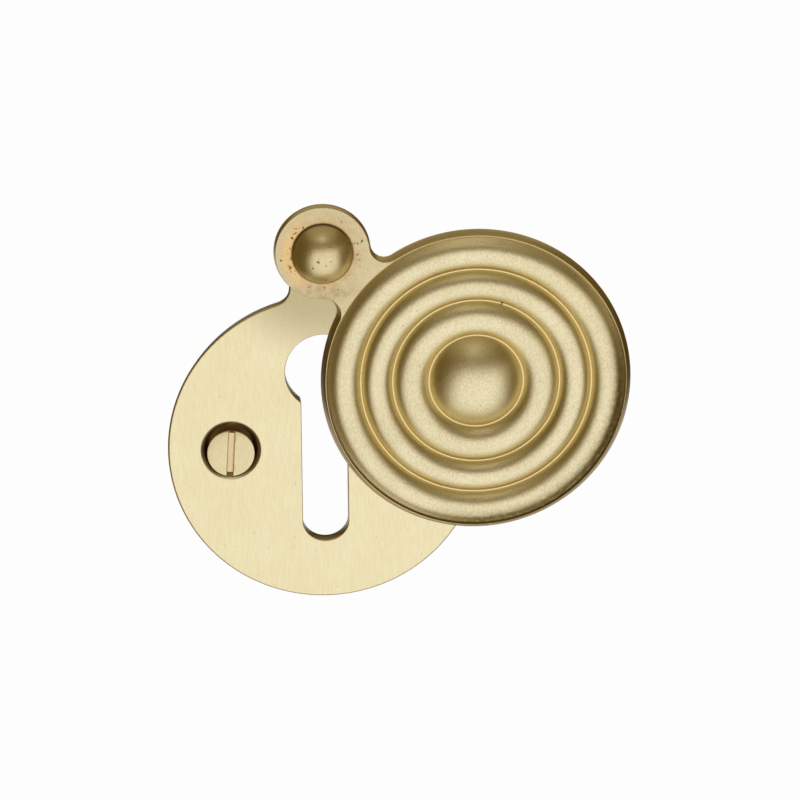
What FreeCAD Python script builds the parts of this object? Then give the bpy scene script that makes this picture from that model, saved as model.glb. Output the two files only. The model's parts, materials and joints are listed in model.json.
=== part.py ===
import FreeCAD, Part
import math
import os

import Sketcher

# A keyhole escutcheon for a cabinet or a drawer: a round plate with a keyhole, and a reeded cover
# that swings about a rivet at the top. All lengths are millimetres.
# The part frame: +Z up, the front faces -Y, the plate's flat back lies at Y = 0 and the middle of
# its round part is the origin.

os.makedirs("parts", exist_ok=True)
doc = FreeCAD.newDocument("keyhole_escutcheon")

FRONTWARD = FreeCAD.Vector(0, -1, 0)
BACKWARD = FreeCAD.Vector(0, 1, 0)
SAME_PLACE = 1e-6

# How a constraint names the sketch's origin and the three points of a line or an arc.
ORIGIN = (-1, 1)
START, END, CENTRE = range(1, 4)

# The driving dimensions.
SIZES = {
    # The backplate: a disc with a small lobe above it for the pivot. Its outer wall leans in
    # towards the back.
    "plate_radius": 16.5,
    "plate_thickness": 1.9,
    "plate_draft_width": 0.33,
    "plate_edge_break": 0.25,
    "plate_lobe_radius": 4.8,
    "plate_lobe_gap": 0.1,
    "plate_neck_radius": 1.8,
    # The keyhole: a round part over a slot whose end is a little flatter than a half circle.
    "keyhole_radius": 4.05,
    "keyhole_height": 8.3,
    "slot_width": 4.8,
    "slot_reach": 10.25,
    "slot_end_flattening": 0.1,
    "slot_corner_radius": 2.0,
    "slot_throat_radius": 0.5,
    "keyhole_edge_break": 0.1,
    # The two fixing screws and their countersunk holes.
    "screw_edge_distance": 6.63,
    "screw_shank_radius": 1.25,
    "screw_thread_radius": 1.05,
    "screw_head_radius": 2.5,
    "screw_head_rim": 0.1,
    "screw_length": 12.7,
    "screw_tip_length": 2.5,
    "screw_slot_width": 0.6,
    "screw_slot_depth": 0.45,
    "screw_hole_play": 0.45,
    "screw_sink_margin": 0.65,
    "screw_seat_gap": 0.03,
    "left_screw_turn": 3.7,
    "right_screw_turn": -38.0,
    # The rivet that the cover swings on.
    "rivet_shank_radius": 1.5,
    "rivet_head_radius": 3.15,
    "rivet_head_height": 1.9,
    "rivet_head_rim": 0.2,
    "rivet_tail_spread": 0.6,
    "rivet_fit_gap": 0.02,
    # The swing cover: a reeded disc on a flat flange, a little smaller than the plate's disc and
    # with a lobe a little larger than the plate's. Its walls lean in towards the front.
    "cover_edge_inset": 0.22,
    "cover_lobe_margin": 0.27,
    "cover_neck_radius": 1.4,
    "cover_disc_draft_width": 0.48,
    "cover_lobe_draft_width": 0.17,
    "cover_flange_thickness": 1.0,
    "cover_lift": 0.05,
    "cover_shown_swing": 48.2,
    "cover_face_gap": 0.05,
    "cover_pivot_gap": 0.06,
    # The relief on the cover's disc: grooves below the flange's face, reeds and button above it.
    "ledge_width": 0.15,
    "outer_reed_width": 3.56,
    "middle_reed_width": 3.35,
    "inner_reed_width": 3.79,
    "groove_width": 0.2,
    "groove_depth": 0.33,
    "reed_rise": 0.52,
    "button_rise": 1.7,
}

# What follows from them.
PIVOT_HEIGHT = "(Sizes.plate_radius + Sizes.plate_lobe_gap + Sizes.plate_lobe_radius)"
PLATE_BACK_RADIUS = "(Sizes.plate_radius - Sizes.plate_draft_width)"
PLATE_BACK_LOBE_RADIUS = "(Sizes.plate_lobe_radius - Sizes.plate_draft_width)"
PLATE_BACK_NECK_RADIUS = "(Sizes.plate_neck_radius + Sizes.plate_draft_width)"
PIVOT_HOLE_RADIUS = "(Sizes.rivet_shank_radius + Sizes.rivet_fit_gap)"
RIVET_TAIL_RADIUS = "(Sizes.rivet_shank_radius + Sizes.rivet_tail_spread)"
SCREW_OFFSET = "(Sizes.plate_radius - Sizes.screw_edge_distance)"
SCREW_HOLE_RADIUS = "(Sizes.screw_shank_radius + Sizes.screw_hole_play)"
SCREW_SINK_RADIUS = "(Sizes.screw_head_radius + Sizes.screw_sink_margin)"
SLOT_END_RADIUS = "(Sizes.slot_width / 2 + Sizes.slot_end_flattening)"
COVER_ARM = f"({PIVOT_HEIGHT} - Sizes.cover_lift)"
COVER_RADIUS = "(Sizes.plate_radius - Sizes.cover_edge_inset)"
COVER_FRONT_RADIUS = f"({COVER_RADIUS} - Sizes.cover_disc_draft_width)"
COVER_LOBE_RADIUS = "(Sizes.plate_lobe_radius + Sizes.cover_lobe_margin)"
COVER_FRONT_LOBE_RADIUS = f"({COVER_LOBE_RADIUS} - Sizes.cover_lobe_draft_width)"
COVER_NECK_DRAFT = "(Sizes.cover_disc_draft_width + Sizes.cover_lobe_draft_width) / 2"
COVER_FRONT_NECK_RADIUS = f"(Sizes.cover_neck_radius + {COVER_NECK_DRAFT})"
RELIEF_RADIUS = f"({COVER_FRONT_RADIUS} - Sizes.ledge_width)"
OUTER_GROOVE_RADIUS = f"({RELIEF_RADIUS} - Sizes.outer_reed_width)"
MIDDLE_GROOVE_RADIUS = f"({OUTER_GROOVE_RADIUS} - Sizes.middle_reed_width)"
INNER_GROOVE_RADIUS = f"({MIDDLE_GROOVE_RADIUS} - Sizes.inner_reed_width)"


# One row of the sheet for each driving dimension.
def make_sheet():
    table = doc.addObject("Spreadsheet::Sheet", "Sizes")
    for row, (alias, size) in enumerate(SIZES.items(), 1):
        table.set(f"A{row}", alias)
        table.set(f"B{row}", str(size))
        table.setAlias(f"B{row}", alias)
    doc.recompute()
    return table


sheet = make_sheet()


# The present value of an expression on the sheet's sizes.
def value(expression):
    return float(sheet.evalExpression(expression))


def origin_plane(body, role):
    for plane in body.Origin.OriginFeatures:
        if plane.Role == role:
            return plane
    raise ValueError(f"{body.Label} has no {role}")


# A sketch on one of the body's own planes, or in front of it.
def make_sketch(body, name, role, offset=None):
    sketch = body.newObject("Sketcher::SketchObject", name)
    sketch.AttachmentSupport = [(origin_plane(body, role), "")]
    sketch.MapMode = "FlatFace"
    if offset:
        sketch.setExpression("AttachmentOffset.Base.z", offset)
    return sketch


def make_body(name):
    body = doc.addObject("PartDesign::Body", name)
    body.Label = name
    return body


def add_arc(sketch, x, y, radius, start, end):
    centre = FreeCAD.Vector(x, y, 0)
    circle = Part.Circle(centre, FreeCAD.Vector(0, 0, 1), radius)
    return sketch.addGeometry(Part.ArcOfCircle(circle, start, end))


def add_line(sketch, start, end):
    return sketch.addGeometry(Part.LineSegment(FreeCAD.Vector(*start, 0), FreeCAD.Vector(*end, 0)))


def add_circle(sketch, x, y, radius):
    return sketch.addGeometry(Part.Circle(FreeCAD.Vector(x, y, 0), FreeCAD.Vector(0, 0, 1), radius))


# A dimension of a sketch, tied to the sheet.
def measure(sketch, expression, kind, *where):
    index = sketch.addConstraint(Sketcher.Constraint(kind, *where, value(expression)))
    sketch.setExpression(f"Constraints[{index}]", expression)


def constrain(sketch, kind, *where):
    sketch.addConstraint(Sketcher.Constraint(kind, *where))


# A sketch's own axes are numbered -1, along its X, and -2, along its Y.
def put_on_x_axis(sketch, *point):
    constrain(sketch, "PointOnObject", *point, -1)


def put_on_y_axis(sketch, *point):
    constrain(sketch, "PointOnObject", *point, -2)


# The outline of a disc with a lobe above it, their two arcs joined by a rounded neck on each side.
# Either the disc or the lobe has its centre at the sketch's origin.
def draw_lobed_outline(sketch, disc, lobe, neck, arm, disc_at_origin):
    disc_radius = value(disc)
    lobe_radius = value(lobe)
    neck_radius = value(neck)
    height = value(arm)
    disc_y = 0 if disc_at_origin else -height
    disc_reach = disc_radius + neck_radius
    lobe_reach = lobe_radius + neck_radius
    cosine = (disc_reach**2 + height**2 - lobe_reach**2) / (2 * disc_reach * height)
    lean = math.acos(cosine)
    neck_x = disc_reach * math.sin(lean)
    neck_y = disc_reach * math.cos(lean)
    slope = math.atan2(neck_y - height, neck_x)
    steep = math.pi / 2 - lean

    disc_arc = add_arc(sketch, 0, disc_y, disc_radius, math.pi / 2 + lean, 2 * math.pi + steep)
    right_arc = add_arc(sketch, neck_x, disc_y + neck_y, neck_radius, slope + math.pi, math.pi + steep)
    lobe_arc = add_arc(sketch, 0, disc_y + height, lobe_radius, slope, math.pi - slope)
    left_arc = add_arc(sketch, -neck_x, disc_y + neck_y, neck_radius, -steep, -slope)
    constrain(sketch, "Tangent", disc_arc, END, right_arc, END)
    constrain(sketch, "Tangent", right_arc, START, lobe_arc, START)
    constrain(sketch, "Tangent", lobe_arc, END, left_arc, END)
    constrain(sketch, "Tangent", left_arc, START, disc_arc, START)
    constrain(sketch, "Equal", right_arc, left_arc)
    if disc_at_origin:
        constrain(sketch, "Coincident", disc_arc, CENTRE, *ORIGIN)
        put_on_y_axis(sketch, lobe_arc, CENTRE)
    else:
        constrain(sketch, "Coincident", lobe_arc, CENTRE, *ORIGIN)
        put_on_y_axis(sketch, disc_arc, CENTRE)
    measure(sketch, disc, "Radius", disc_arc)
    measure(sketch, lobe, "Radius", lobe_arc)
    measure(sketch, neck, "Radius", right_arc)
    measure(sketch, arm, "DistanceY", disc_arc, CENTRE, lobe_arc, CENTRE)


# The keyhole's outline, anticlockwise from the right end of its round part.
def draw_keyhole(sketch):
    radius = value("Sizes.keyhole_radius")
    round_y = value("Sizes.keyhole_height")
    half = value("Sizes.slot_width / 2")
    end_radius = value(SLOT_END_RADIUS)
    end_y = value(f"{SLOT_END_RADIUS} - Sizes.slot_reach")
    corner = value("Sizes.slot_corner_radius")
    throat = value("Sizes.slot_throat_radius")
    throat_x = half + throat
    throat_drop = math.sqrt((radius + throat) ** 2 - throat_x**2)
    throat_y = round_y - throat_drop
    throat_lean = math.atan2(throat_drop, throat_x)
    corner_x = half - corner
    corner_drop = math.sqrt((end_radius - corner) ** 2 - corner_x**2)
    corner_y = end_y - corner_drop
    corner_lean = math.atan2(corner_drop, corner_x)
    turn = math.pi

    top = add_arc(sketch, 0, round_y, radius, -throat_lean, turn + throat_lean)
    left_throat = add_arc(sketch, -throat_x, throat_y, throat, 0, throat_lean)
    left_side = add_line(sketch, (-half, throat_y), (-half, corner_y))
    left_corner = add_arc(sketch, -corner_x, corner_y, corner, turn, turn + corner_lean)
    end = add_arc(sketch, 0, end_y, end_radius, turn + corner_lean, 2 * turn - corner_lean)
    right_corner = add_arc(sketch, corner_x, corner_y, corner, -corner_lean, 0)
    right_side = add_line(sketch, (half, corner_y), (half, throat_y))
    right_throat = add_arc(sketch, throat_x, throat_y, throat, turn - throat_lean, turn)
    constrain(sketch, "Tangent", top, END, left_throat, END)
    constrain(sketch, "Tangent", left_throat, START, left_side, START)
    constrain(sketch, "Tangent", left_side, END, left_corner, START)
    constrain(sketch, "Tangent", left_corner, END, end, START)
    constrain(sketch, "Tangent", end, END, right_corner, START)
    constrain(sketch, "Tangent", right_corner, END, right_side, START)
    constrain(sketch, "Tangent", right_side, END, right_throat, END)
    constrain(sketch, "Tangent", right_throat, START, top, START)
    constrain(sketch, "Equal", left_throat, right_throat)
    constrain(sketch, "Equal", left_corner, right_corner)
    constrain(sketch, "Vertical", left_side)
    constrain(sketch, "Vertical", right_side)
    put_on_y_axis(sketch, top, CENTRE)
    put_on_y_axis(sketch, end, CENTRE)
    measure(sketch, "Sizes.keyhole_radius", "Radius", top)
    measure(sketch, SLOT_END_RADIUS, "Radius", end)
    measure(sketch, "Sizes.slot_corner_radius", "Radius", left_corner)
    measure(sketch, "Sizes.slot_throat_radius", "Radius", left_throat)
    measure(sketch, "Sizes.keyhole_height", "DistanceY", *ORIGIN, top, CENTRE)
    measure(sketch, f"Sizes.slot_reach - {SLOT_END_RADIUS}", "DistanceY", end, CENTRE, *ORIGIN)
    measure(sketch, "Sizes.slot_width / 2", "DistanceX", *ORIGIN, right_side, START)
    measure(sketch, "Sizes.slot_width / 2", "DistanceX", left_side, START, *ORIGIN)


# A half profile for turning, anticlockwise as the side view shows it. Each point is a depth behind
# the body's zero plane (negative in front of it) and a radius from the turning axis, which lies
# `drop` below the sketch's origin. A third entry bends the stretch that starts at the point: "dome"
# for a crown over the axis, or else the depth that the crest of a reed reaches.
def draw_turned_profile(sketch, points, drop="0"):
    places = [(value(depth), value(radius) - value(drop)) for depth, radius, *_ in points]
    edges = []
    for place, after, (_, _, *bend) in zip(places, places[1:] + places[:1], points):
        if not bend:
            edges.append(add_line(sketch, place, after))
        elif bend[0] == "dome":
            edges.append(add_dome(sketch, place, after, drop))
        else:
            edges.append(add_reed(sketch, place, after, bend[0]))
    for before, edge, (depth, radius, *_) in zip(edges[-1:] + edges, edges, points):
        constrain(sketch, "Coincident", before, END, edge, START)
        hold_across(sketch, depth, edge, START)
        hold_up(sketch, radius, drop, edge, START)


# Holds a point at a signed distance to the right of the sketch's origin.
def hold_across(sketch, distance, edge, end):
    if abs(value(distance)) < SAME_PLACE:
        put_on_y_axis(sketch, edge, end)
    elif value(distance) > 0:
        measure(sketch, distance, "DistanceX", *ORIGIN, edge, end)
    else:
        measure(sketch, f"-({distance})", "DistanceX", edge, end, *ORIGIN)


# Holds a point at a radius from a turning axis that lies `drop` below the sketch's origin.
def hold_up(sketch, radius, drop, edge, end):
    height = value(radius) - value(drop)
    if abs(height) < SAME_PLACE:
        put_on_x_axis(sketch, edge, end)
    elif height > 0:
        measure(sketch, f"({radius}) - {drop}", "DistanceY", *ORIGIN, edge, end)
    else:
        measure(sketch, f"{drop} - ({radius})", "DistanceY", edge, end, *ORIGIN)


# A construction line for a turning axis that isn't one of the sketch's own.
def draw_turning_axis(sketch, length, drop):
    axis = add_line(sketch, (0, -value(drop)), (-value(length), -value(drop)))
    sketch.toggleConstruction(axis)
    for end, depth in ((START, "0"), (END, f"-{length}")):
        hold_across(sketch, depth, axis, end)
        hold_up(sketch, "0", drop, axis, end)


# The arc of a dome, from its rim to the crown, where it meets the turning axis squarely.
def add_dome(sketch, rim, crown, drop):
    rise = rim[0] - crown[0]
    reach = rim[1] - crown[1]
    radius = (reach**2 + rise**2) / (2 * rise)
    lean = math.atan2(reach, rise - radius)
    arc = add_arc(sketch, crown[0] + radius, crown[1], radius, lean, math.pi)
    hold_up(sketch, "0", drop, arc, CENTRE)
    return arc


# The arc of a reed between its two feet, touching the plane of all the crests.
def add_reed(sketch, outer, inner, crest):
    crest_x = value(crest)
    middle = (crest_x, (outer[1] + inner[1]) / 2)
    arc_points = [FreeCAD.Vector(*point, 0) for point in (outer, middle, inner)]
    arc = sketch.addGeometry(Part.Arc(*arc_points))
    touched = add_line(sketch, (crest_x, inner[1]), (crest_x, outer[1]))
    sketch.toggleConstruction(touched)
    constrain(sketch, "Vertical", touched)
    constrain(sketch, "Horizontal", touched, END, arc, START)
    constrain(sketch, "Horizontal", touched, START, arc, END)
    hold_across(sketch, crest, touched, START)
    constrain(sketch, "Tangent", arc, touched)
    return arc


# Turns a half profile about a line of its sketch.
def turn_profile(body, name, sketch, axis):
    turned = body.newObject("PartDesign::Revolution", name)
    turned.Profile = sketch
    turned.ReferenceAxis = (sketch, [axis])
    turned.Angle = 360
    return turned


# A slab with straight leaning walls between its outlines on the back and on the front.
def make_blank(body, name, back, front):
    blank = body.newObject("PartDesign::AdditiveLoft", name)
    blank.Profile = back
    blank.Sections = [front]
    blank.Ruled = True
    return blank


# A cut from a sketch on the back plane, forward through everything.
def cut_through(body, name, sketch):
    feature = body.newObject("PartDesign::Pocket", name)
    feature.Profile = sketch
    feature.Type = "ThroughAll"
    feature.Reversed = True
    return feature


# A cut of a given depth from a sketch on a front plane, backward into the metal.
def cut_in(body, name, sketch, depth):
    feature = body.newObject("PartDesign::Pocket", name)
    feature.Profile = sketch
    feature.Type = "Length"
    feature.setExpression("Length", depth)
    return feature


# A drilled hole with a countersink on the side of its sketch.
def drill(body, name, sketch, radius, sink_radius, from_back):
    doc.recompute()
    feature = body.newObject("PartDesign::Hole", name)
    feature.Profile = sketch
    feature.DepthType = "ThroughAll"
    feature.Reversed = from_back
    feature.Diameter = 2 * value(radius)
    feature.HoleCutType = "Countersink"
    feature.HoleCutDiameter = 2 * value(sink_radius)
    feature.HoleCutCountersinkAngle = 90
    feature.setExpression("Diameter", f"2 * ({radius})")
    feature.setExpression("HoleCutDiameter", f"2 * ({sink_radius})")
    return feature


# Breaks the edges of one loop of the front face: its outline, or its largest opening.
def break_front_edges(body, name, base, depth, size, opening=False):
    doc.recompute()
    shape = base.Shape
    flats = [face for face in shape.Faces if is_flat_at(face, depth)]
    front = max(flats, key=lambda face: face.Area)
    outline = front.OuterWire
    loops = [wire for wire in front.Wires if wire.isSame(outline) != opening]
    loop = max(loops, key=lambda wire: wire.Length)
    names = [
        f"Edge{number}"
        for number, edge in enumerate(shape.Edges, 1)
        if any(edge.isSame(part) for part in loop.Edges)
    ]
    broken = body.newObject("PartDesign::Chamfer", name)
    broken.Base = (base, names)
    broken.Size = value(size)
    broken.setExpression("Size", size)
    return broken


def is_flat_at(face, depth):
    box = face.BoundBox
    return max(abs(box.YMin - depth), abs(box.YMax - depth)) < SAME_PLACE


# The backplate, with the keyhole, the two countersunk holes for its screws and the pivot hole,
# which is countersunk at the back for the rivet's spread tail.
def build_backplate():
    body = make_body("backplate")
    back = make_sketch(body, "PlateBackOutline", "XZ_Plane")
    draw_lobed_outline(
        back,
        PLATE_BACK_RADIUS,
        PLATE_BACK_LOBE_RADIUS,
        PLATE_BACK_NECK_RADIUS,
        PIVOT_HEIGHT,
        disc_at_origin=True,
    )
    front = make_sketch(body, "PlateFrontOutline", "XZ_Plane", "Sizes.plate_thickness")
    draw_lobed_outline(
        front,
        "Sizes.plate_radius",
        "Sizes.plate_lobe_radius",
        "Sizes.plate_neck_radius",
        PIVOT_HEIGHT,
        disc_at_origin=True,
    )
    make_blank(body, "PlateBlank", back, front)

    keyhole = make_sketch(body, "KeyholeOutline", "XZ_Plane")
    draw_keyhole(keyhole)
    cut_through(body, "Keyhole", keyhole)

    depth = -value("Sizes.plate_thickness")
    edge = break_front_edges(body, "PlateEdge", body.Tip, depth, "Sizes.plate_edge_break")
    break_front_edges(
        body, "KeyholeEdge", edge, depth, "Sizes.keyhole_edge_break", opening=True
    )

    screw_holes = make_sketch(body, "ScrewHoleCentres", "XZ_Plane", "Sizes.plate_thickness")
    for side in (-1, 1):
        offset = f"{side} * {SCREW_OFFSET}"
        circle = add_circle(screw_holes, value(offset), 0, value(SCREW_HOLE_RADIUS))
        put_on_x_axis(screw_holes, circle, CENTRE)
        hold_across(screw_holes, offset, circle, CENTRE)
        measure(screw_holes, SCREW_HOLE_RADIUS, "Radius", circle)
    drill(body, "ScrewHoles", screw_holes, SCREW_HOLE_RADIUS, SCREW_SINK_RADIUS, from_back=False)

    pivot = make_sketch(body, "PivotHoleCentre", "XZ_Plane")
    circle = add_circle(pivot, 0, value(PIVOT_HEIGHT), value(PIVOT_HOLE_RADIUS))
    put_on_y_axis(pivot, circle, CENTRE)
    measure(pivot, PIVOT_HEIGHT, "DistanceY", *ORIGIN, circle, CENTRE)
    measure(pivot, PIVOT_HOLE_RADIUS, "Radius", circle)
    tail_seat = f"{RIVET_TAIL_RADIUS} + Sizes.rivet_fit_gap"
    drill(body, "PivotHole", pivot, PIVOT_HOLE_RADIUS, tail_seat, from_back=True)
    return body


# The swing cover. Its own origin is on the pivot, at its flat back, and it hangs down from there.
# Its disc is recessed inside a narrow ledge, and the reeds and the button stand in the recess.
def build_swing_cover():
    body = make_body("swing_cover")
    back = make_sketch(body, "CoverBackOutline", "XZ_Plane")
    draw_lobed_outline(
        back,
        COVER_RADIUS,
        COVER_LOBE_RADIUS,
        "Sizes.cover_neck_radius",
        COVER_ARM,
        disc_at_origin=False,
    )
    front = make_sketch(body, "CoverFrontOutline", "XZ_Plane", "Sizes.cover_flange_thickness")
    draw_lobed_outline(
        front,
        COVER_FRONT_RADIUS,
        COVER_FRONT_LOBE_RADIUS,
        COVER_FRONT_NECK_RADIUS,
        COVER_ARM,
        disc_at_origin=False,
    )
    make_blank(body, "CoverBlank", back, front)

    recess = make_sketch(body, "ReliefCircle", "XZ_Plane", "Sizes.cover_flange_thickness")
    circle = add_circle(recess, 0, -value(COVER_ARM), value(RELIEF_RADIUS))
    put_on_y_axis(recess, circle, CENTRE)
    measure(recess, COVER_ARM, "DistanceY", circle, CENTRE, *ORIGIN)
    measure(recess, RELIEF_RADIUS, "Radius", circle)
    cut_in(body, "ReliefRecess", recess, "Sizes.groove_depth")

    profile = make_sketch(body, "ReliefProfile", "YZ_Plane")
    draw_relief(profile)
    turn_profile(body, "Relief", profile, "Axis0")

    pivot_radius = "Sizes.rivet_shank_radius + Sizes.cover_pivot_gap"
    pivot = make_sketch(body, "CoverPivotHole", "XZ_Plane")
    hole = add_circle(pivot, 0, 0, value(pivot_radius))
    constrain(pivot, "Coincident", hole, CENTRE, *ORIGIN)
    measure(pivot, pivot_radius, "Radius", hole)
    cut_through(body, "CoverPivot", pivot)

    body.Placement = FreeCAD.Placement(FreeCAD.Vector(), FreeCAD.Rotation(FRONTWARD, 1))
    body.setExpression("Placement.Rotation.Angle", "Sizes.cover_shown_swing")
    body.setExpression("Placement.Base.y", "-Sizes.plate_thickness - Sizes.cover_face_gap")
    body.setExpression("Placement.Base.z", PIVOT_HEIGHT)
    return body


# The half profile of the reeded disc, from its flat back round to the crown of the button.
def draw_relief(sketch):
    draw_turning_axis(sketch, "Sizes.cover_flange_thickness", COVER_ARM)
    face = "-Sizes.cover_flange_thickness"
    floor = f"{face} + Sizes.groove_depth"
    crest = f"{face} - Sizes.reed_rise"
    half_groove = "Sizes.groove_width / 2"
    points = [("0", "0"), ("0", RELIEF_RADIUS), (face, RELIEF_RADIUS, crest)]
    for groove in (OUTER_GROOVE_RADIUS, MIDDLE_GROOVE_RADIUS):
        points.append((floor, f"{groove} + {half_groove}"))
        points.append((floor, f"{groove} - {half_groove}", crest))
    points.append((floor, f"{INNER_GROOVE_RADIUS} + {half_groove}"))
    points.append((floor, f"{INNER_GROOVE_RADIUS} - {half_groove}", "dome"))
    points.append((f"{face} - Sizes.button_rise", "0"))
    draw_turned_profile(sketch, points, drop=COVER_ARM)


# The rivet: a domed head on the cover's flange, a plain shank and a tail spread into the back of
# the plate.
def build_pivot_rivet():
    body = make_body("pivot_rivet")
    profile = make_sketch(body, "RivetProfile", "YZ_Plane")
    stack = "Sizes.plate_thickness + Sizes.cover_flange_thickness + 2 * Sizes.cover_face_gap"
    points = [
        ("0", "0"),
        ("0", RIVET_TAIL_RADIUS),
        ("-Sizes.rivet_tail_spread", "Sizes.rivet_shank_radius"),
        (f"-({stack})", "Sizes.rivet_shank_radius"),
        (f"-({stack})", "Sizes.rivet_head_radius"),
        (f"-({stack} + Sizes.rivet_head_rim)", "Sizes.rivet_head_radius", "dome"),
        (f"-({stack} + Sizes.rivet_head_height)", "0"),
    ]
    draw_turned_profile(profile, points)
    turn_profile(body, "RivetTurned", profile, "H_Axis")
    body.setExpression("Placement.Base.z", PIVOT_HEIGHT)
    return body


# A slotted countersunk wood screw with its own origin in the middle of its head. It hangs in its
# hole by the play between the two, so its head sits that much lower and less deep in its seat.
# The plain shank ends at the back of the plate, and the thread is drawn at its mean radius.
def build_fixing_screw(name, side, turn):
    body = make_body(name)
    hang = "(Sizes.screw_hole_play - Sizes.screw_seat_gap)"
    sunk = f"(Sizes.screw_sink_margin - Sizes.screw_head_rim - {hang} - Sizes.screw_seat_gap)"
    cone = "Sizes.screw_head_rim + Sizes.screw_head_radius - Sizes.screw_shank_radius"
    plain = f"Sizes.plate_thickness - {sunk}"
    profile = make_sketch(body, f"{name}_profile", "YZ_Plane")
    points = [
        ("Sizes.screw_length", "0"),
        ("Sizes.screw_length - Sizes.screw_tip_length", "Sizes.screw_thread_radius"),
        (plain, "Sizes.screw_thread_radius"),
        (plain, "Sizes.screw_shank_radius"),
        (cone, "Sizes.screw_shank_radius"),
        ("Sizes.screw_head_rim", "Sizes.screw_head_radius"),
        ("0", "Sizes.screw_head_radius"),
        ("0", "0"),
    ]
    draw_turned_profile(profile, points)
    turn_profile(body, f"{name}_turned", profile, "H_Axis")

    slot = make_sketch(body, f"{name}_slot_outline", "XZ_Plane")
    draw_centred_rectangle(slot, "Sizes.screw_slot_width", "Sizes.screw_head_radius * 2")
    cut_in(body, f"{name}_slot", slot, "Sizes.screw_slot_depth")

    body.Placement = FreeCAD.Placement(FreeCAD.Vector(), FreeCAD.Rotation(BACKWARD, 1))
    body.setExpression("Placement.Rotation.Angle", turn)
    body.setExpression("Placement.Base.x", f"{side} * {SCREW_OFFSET}")
    body.setExpression("Placement.Base.y", f"{sunk} - Sizes.plate_thickness")
    body.setExpression("Placement.Base.z", f"-{hang}")
    return body


def draw_centred_rectangle(sketch, width, height):
    half_width = value(width) / 2
    half_height = value(height) / 2
    corners = [
        (-half_width, -half_height),
        (half_width, -half_height),
        (half_width, half_height),
        (-half_width, half_height),
    ]
    sides = [add_line(sketch, a, b) for a, b in zip(corners, corners[1:] + corners[:1])]
    for before, after in zip(sides[-1:] + sides, sides):
        constrain(sketch, "Coincident", before, END, after, START)
    bottom, right, top, left = sides
    constrain(sketch, "Horizontal", bottom)
    constrain(sketch, "Horizontal", top)
    constrain(sketch, "Vertical", right)
    constrain(sketch, "Vertical", left)
    constrain(sketch, "Symmetric", bottom, START, right, END, *ORIGIN)
    measure(sketch, width, "DistanceX", bottom, START, bottom, END)
    measure(sketch, height, "DistanceY", right, START, right, END)


# Stops unless every object rebuilt cleanly and every sketch is fully held.
def check_document():
    for item in doc.Objects:
        if "Invalid" in item.State or "Error" in item.State:
            raise RuntimeError(f"{item.Name} did not rebuild")
        if item.TypeId == "Sketcher::SketchObject" and item.solve() != 0:
            raise RuntimeError(f"{item.Name} does not solve")


def export_part(body):
    shape = body.Shape
    if shape.isNull() or not shape.isValid() or len(shape.Solids) != 1:
        raise RuntimeError(f"{body.Label} is not one sound solid")
    shape.exportStep(f"parts/{body.Label}.step")
    print(f"{body.Label}: {shape.Volume:.1f} mm3")


bodies = [build_backplate(), build_swing_cover(), build_pivot_rivet()]
for name, side, turn in (
    ("fixing_screw_left", -1, "Sizes.left_screw_turn"),
    ("fixing_screw_right", 1, "Sizes.right_screw_turn"),
):
    bodies.append(build_fixing_screw(name, side, turn))
doc.recompute()
check_document()
for body in bodies:
    export_part(body)
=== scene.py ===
import json
import math
import bmesh
import bpy
from mathutils import Matrix, Vector

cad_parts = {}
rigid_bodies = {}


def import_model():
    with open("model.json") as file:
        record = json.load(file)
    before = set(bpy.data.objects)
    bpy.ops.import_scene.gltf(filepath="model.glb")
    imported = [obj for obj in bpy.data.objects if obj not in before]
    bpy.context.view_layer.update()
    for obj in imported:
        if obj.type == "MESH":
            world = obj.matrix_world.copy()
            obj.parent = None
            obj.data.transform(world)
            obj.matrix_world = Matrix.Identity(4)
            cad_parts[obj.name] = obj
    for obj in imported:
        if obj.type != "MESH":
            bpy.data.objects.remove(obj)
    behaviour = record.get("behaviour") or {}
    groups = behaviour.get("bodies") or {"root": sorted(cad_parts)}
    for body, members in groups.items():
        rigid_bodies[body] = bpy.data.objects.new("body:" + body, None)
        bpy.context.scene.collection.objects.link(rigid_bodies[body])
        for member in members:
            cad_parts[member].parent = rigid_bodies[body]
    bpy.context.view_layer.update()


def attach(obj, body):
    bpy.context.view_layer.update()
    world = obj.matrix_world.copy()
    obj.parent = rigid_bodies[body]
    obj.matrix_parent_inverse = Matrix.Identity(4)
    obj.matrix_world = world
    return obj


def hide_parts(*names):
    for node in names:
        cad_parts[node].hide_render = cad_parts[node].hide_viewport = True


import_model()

# sizes are in millimetres; the plate's disc is centred on the origin and its back lies at y = 0
mm = 0.001

# how many straight steps draw each round stretch
steps = dict(disc=220, lobe=64, neck=10, keyRound=72, keyThroat=6, keyCorner=12, keyEnd=24, plateHole=80,
             plateEdge=5, keyEdge=4, backEdge=2, pivotHole=64, coverEdge=4, relief=240, reed=18, dome=24,
             rivet=96, screw=64)


def startPiece(name):
    # an empty mesh in edit mode, for what is drawn next
    bpy.ops.object.select_all(action="DESELECT")
    bpy.ops.mesh.primitive_plane_add(size=mm)
    piece = bpy.context.object
    piece.name = name
    bpy.ops.object.mode_set(mode="EDIT")
    bpy.ops.mesh.select_all(action="SELECT")
    bpy.ops.mesh.delete(type="VERT")
    return piece


def addPoint(x, y, z):
    # a tiny face drawn together to one point
    bpy.ops.mesh.primitive_plane_add(size=0.01 * mm, location=(x * mm, y * mm, z * mm))
    bpy.ops.mesh.merge(type="CENTER")


def addCircle(x, y, z, radius, count, fill="NOTHING"):
    bpy.ops.mesh.primitive_circle_add(vertices=count, radius=radius * mm, fill_type=fill,
                                      location=(x * mm, y * mm, z * mm), rotation=(math.pi / 2, 0, 0))


def arc(x, y, z, sweep, count):
    # carries the selected point round a centre, anticlockwise as seen from the front
    bpy.ops.mesh.spin(steps=count, angle=sweep, center=(x * mm, y * mm, z * mm), axis=(0, 1, 0))


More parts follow.
